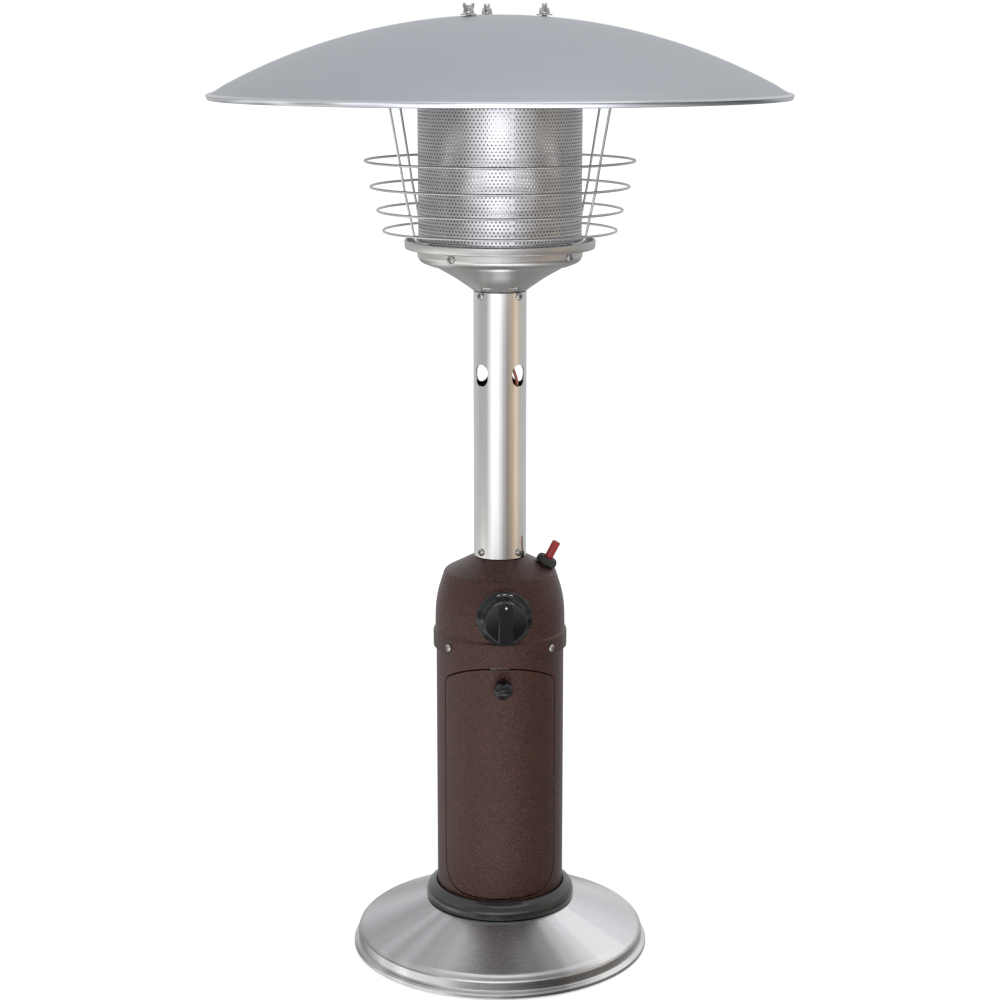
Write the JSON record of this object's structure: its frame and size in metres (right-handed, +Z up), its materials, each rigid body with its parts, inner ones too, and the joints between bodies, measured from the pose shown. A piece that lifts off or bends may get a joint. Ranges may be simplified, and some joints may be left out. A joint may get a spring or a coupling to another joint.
{
  "type": "table-top gas patio heater",
  "caption": "Table-top gas heater: round weighted base, bottle housing with a tilt-out door, valve knob and igniter, pole, perforated emitter, wire guard and dish reflector.",
  "frame": {"origin": "on the floor, on the heater's own upright axis, at the bottom centre of its bounding box", "axes": "+Z up the pole, -Y out of the door and the control knob, +X towards the igniter button"},
  "size_m": [0.5456, 0.5456, 0.923],
  "materials": {
    "base_shell": "circumferentially brushed stainless steel",
    "ballast_plate": "rough black casting",
    "foot_ring": "matt black rubber",
    "zinc_hardware": "zinc plated steel",
    "base_collar": "dark grey powder coat",
    "bronze_paint": "hammered bronze paint",
    "black_plastic": "gloss black moulding",
    "brass": "cast and machined brass",
    "matt_black_plastic": "matt black moulding",
    "red_plastic": "gloss red moulding",
    "polished_steel": "polished stainless steel tube",
    "aluminium_tube": "drawn aluminium tube",
    "wire_jacket": "red-brown silicone jacket",
    "copper": "drawn copper",
    "head_steel": "satin stainless steel",
    "emitter_steel": "perforated stainless sheet",
    "ceramic": "white glazed ceramic",
    "guard_wire": "bright chromed wire",
    "reflector_sheet": "satin spun aluminium"
  },
  "bodies": {
    "heater": {"base_shell": "base_shell", "ballast_plate": "ballast_plate", "foot_ring": "foot_ring", "base_bolt_1": "zinc_hardware", "base_bolt_2": "zinc_hardware", "base_bolt_3": "zinc_hardware", "base_collar": "base_collar", "cylinder_housing": "bronze_paint", "housing_floor": "zinc_hardware", "door_catch": "zinc_hardware", "valve_housing": "bronze_paint", "housing_screw_1": "zinc_hardware", "housing_screw_2": "zinc_hardware", "housing_screw_3": "zinc_hardware", "housing_screw_4": "zinc_hardware", "valve_bracket": "zinc_hardware", "regulator": "brass", "control_valve": "brass", "igniter_body": "matt_black_plastic", "igniter_nut": "matt_black_plastic", "tilt_switch": "matt_black_plastic", "pole": "polished_steel", "pole_screw_low_1": "zinc_hardware", "pole_screw_low_2": "zinc_hardware", "pole_screw_low_3": "zinc_hardware", "pole_screw_low_4": "zinc_hardware", "pole_screw_top_1": "zinc_hardware", "pole_screw_top_2": "zinc_hardware", "pole_screw_top_3": "zinc_hardware", "pole_screw_top_4": "zinc_hardware", "gas_tube": "aluminium_tube", "igniter_wire": "wire_jacket", "thermocouple_lead": "copper", "head_funnel": "head_steel", "head_pan": "head_steel", "head_screw_1": "zinc_hardware", "head_screw_2": "zinc_hardware", "head_screw_3": "zinc_hardware", "head_screw_4": "zinc_hardware", "emitter_screen": "emitter_steel", "emitter_top": "zinc_hardware", "burner_cup": "head_steel", "mixer_tube": "ballast_plate", "jet": "brass", "pilot_burner": "zinc_hardware", "electrode": "ceramic", "wire_guard": "guard_wire", "reflector": "reflector_sheet", "washer_1": "zinc_hardware", "washer_2": "zinc_hardware", "washer_3": "zinc_hardware"},
    "valve_plunger": {"valve_push_pin": "brass"},
    "knob": {"control_knob": "black_plastic", "valve_spindle": "zinc_hardware"},
    "igniter_plunger": {"igniter_button": "red_plastic"},
    "bottle_door": {"door": "bronze_paint", "door_knob": "black_plastic"},
    "reflector_nut_1": {"wing_nut_1": "zinc_hardware"},
    "reflector_nut_2": {"wing_nut_2": "zinc_hardware"},
    "reflector_nut_3": {"wing_nut_3": "zinc_hardware"}
  },
  "joints": [
    {"name": "knob_push", "type": "slide", "parent": "heater", "child": "valve_plunger", "axis": [-0.061, 0.9981, 0], "range_m": [0, 0.003], "stiffness_N_per_m": 400, "springref_m": -0.004},
    {"name": "knob_turn", "type": "hinge", "parent": "valve_plunger", "child": "knob", "pos_m": [0.00418, -0.06827, 0.353], "axis": [0.061, -0.9981, 0], "range_deg": [0, 210]},
    {"name": "igniter_press", "type": "slide", "parent": "heater", "child": "igniter_plunger", "axis": [-0.4555, 0, -0.8902], "range_m": [0, 0.006], "stiffness_N_per_m": 1200, "springref_m": -0.003},
    {"name": "door_tilt", "type": "hinge", "parent": "heater", "child": "bottle_door", "pos_m": [0, -0.0616, 0.0669], "axis": [1, 0, 0], "range_deg": [0, 75]},
    {"name": "wing_nut_1_turn", "type": "hinge", "parent": "heater", "child": "reflector_nut_1", "pos_m": [-0.02864, -0.03072, 0.914], "axis": [0, 0, 1], "continuous": true},
    {"name": "wing_nut_2_turn", "type": "hinge", "parent": "heater", "child": "reflector_nut_2", "pos_m": [0.04092, -0.00945, 0.914], "axis": [0, 0, 1], "continuous": true},
    {"name": "wing_nut_3_turn", "type": "hinge", "parent": "heater", "child": "reflector_nut_3", "pos_m": [-0.01228, 0.04016, 0.914], "axis": [0, 0, 1], "continuous": true}
  ]
}
